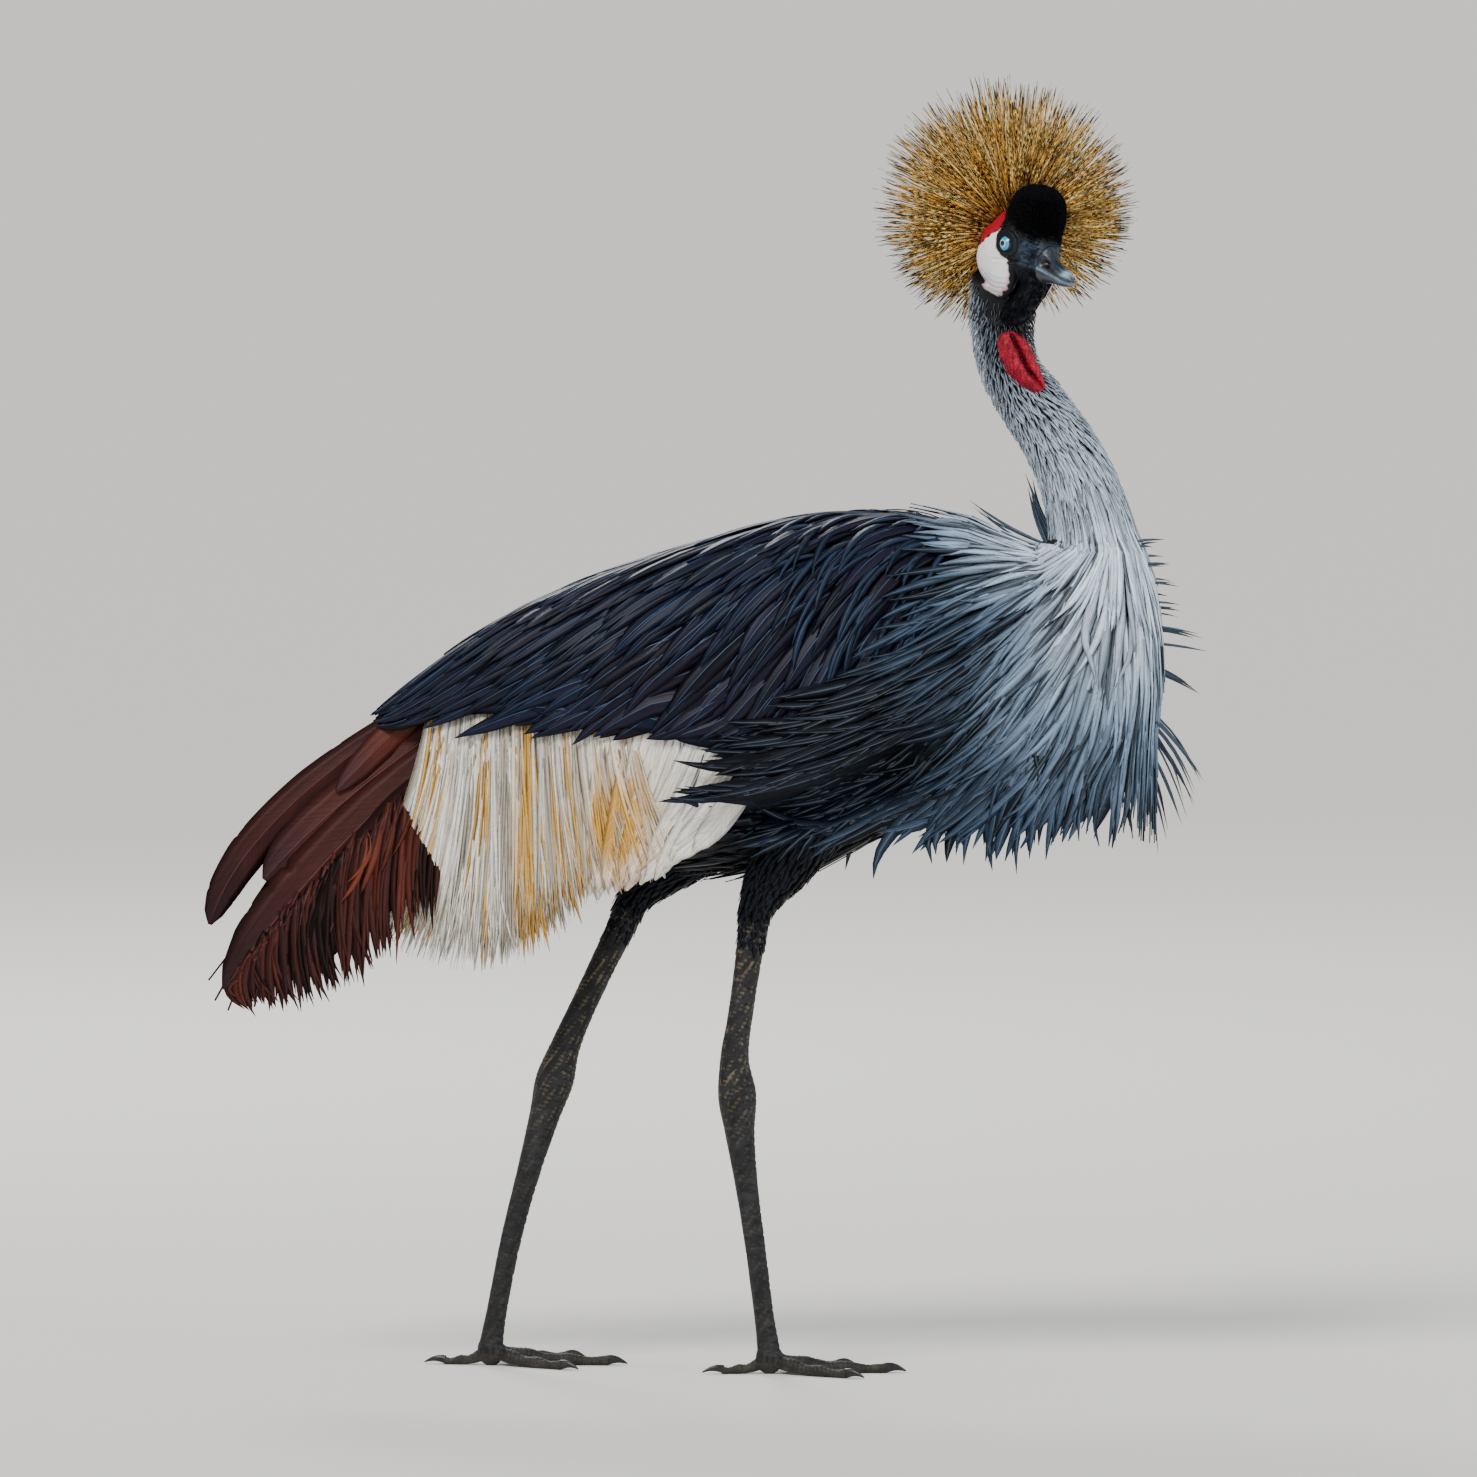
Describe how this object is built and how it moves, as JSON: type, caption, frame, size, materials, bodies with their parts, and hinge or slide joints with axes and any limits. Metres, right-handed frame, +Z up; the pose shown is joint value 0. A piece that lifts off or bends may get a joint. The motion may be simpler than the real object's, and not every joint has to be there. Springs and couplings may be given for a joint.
{
  "type": "grey crowned crane",
  "caption": "Life-size standing crane with a bristle crest, long neck plumes, folded wings with drooping secondaries, and long scaled legs.",
  "frame": {"origin": "centre of the bird's bounding box, on the floor under its soles", "axes": "+X the way the body faces, +Y the bird's left, +Z up"},
  "size_m": [0.7815, 0.2306, 1.0101],
  "materials": {
    "slate_feathers": "silky barbs",
    "grey_plumes": "silky barbs",
    "white_gold_plumes": "loose silky barbs",
    "chestnut_feathers": "silky barbs",
    "black_feathers": "silky barbs",
    "face_skin": "bare skin and short velvet feathers",
    "bill_horn": "horn",
    "velvet_cap": "velvet of short feathers",
    "crest_bristles": "stiff twisted bristles",
    "red_skin": "bare wrinkled skin",
    "eye": "wet",
    "leg_scales": "fine scales",
    "claw_horn": "horn"
  },
  "bodies": {
    "root": {"bill_lower": "bill_horn", "bill_upper": "bill_horn", "claw_hind_left": "claw_horn", "claw_hind_right": "claw_horn", "claw_inner_left": "claw_horn", "claw_inner_right": "claw_horn", "claw_middle_left": "claw_horn", "claw_middle_right": "claw_horn", "claw_outer_left": "claw_horn", "claw_outer_right": "claw_horn", "crest": "crest_bristles", "crown_cap": "velvet_cap", "eye_left": "eye", "eye_right": "eye", "foot_left": "leg_scales", "foot_right": "leg_scales", "head": "face_skin", "neck_lower": "grey_plumes", "neck_upper": "grey_plumes", "secondaries_left": "chestnut_feathers", "secondaries_right": "chestnut_feathers", "shank_left": "leg_scales", "shank_right": "leg_scales", "tail": "black_feathers", "tarsus_left": "leg_scales", "tarsus_right": "leg_scales", "thigh_left": "black_feathers", "thigh_right": "black_feathers", "torso": "slate_feathers", "wattle": "red_skin", "wing_gold_left": "white_gold_plumes", "wing_gold_right": "white_gold_plumes", "wing_left": "slate_feathers", "wing_right": "slate_feathers"}
  },
  "joints": []
}
